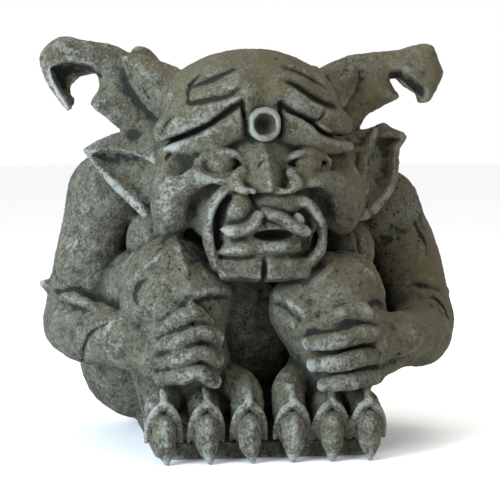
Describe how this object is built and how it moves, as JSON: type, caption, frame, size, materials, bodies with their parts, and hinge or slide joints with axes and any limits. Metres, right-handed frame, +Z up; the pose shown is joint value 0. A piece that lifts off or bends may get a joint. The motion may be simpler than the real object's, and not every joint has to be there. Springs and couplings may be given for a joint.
{
  "type": "stone gargoyle",
  "caption": "Squatting horned gargoyle with a third eye on its brow, arms round its knees and clawed feet, cast in one piece with a flat underside.",
  "frame": {"origin": "middle of the figure's width on its flat underside, at ground level", "axes": "+Z up, the face looks along -Y, +X to the right of someone who faces the gargoyle"},
  "size_m": [0.2982, 0.2437, 0.2819],
  "materials": {
    "weathered_stone": "matt cast stone, grey dry-brushed highlights over an olive-brown wash, near-black in the hollows"
  },
  "bodies": {
    "root": {"gargoyle": "weathered_stone"}
  },
  "joints": []
}
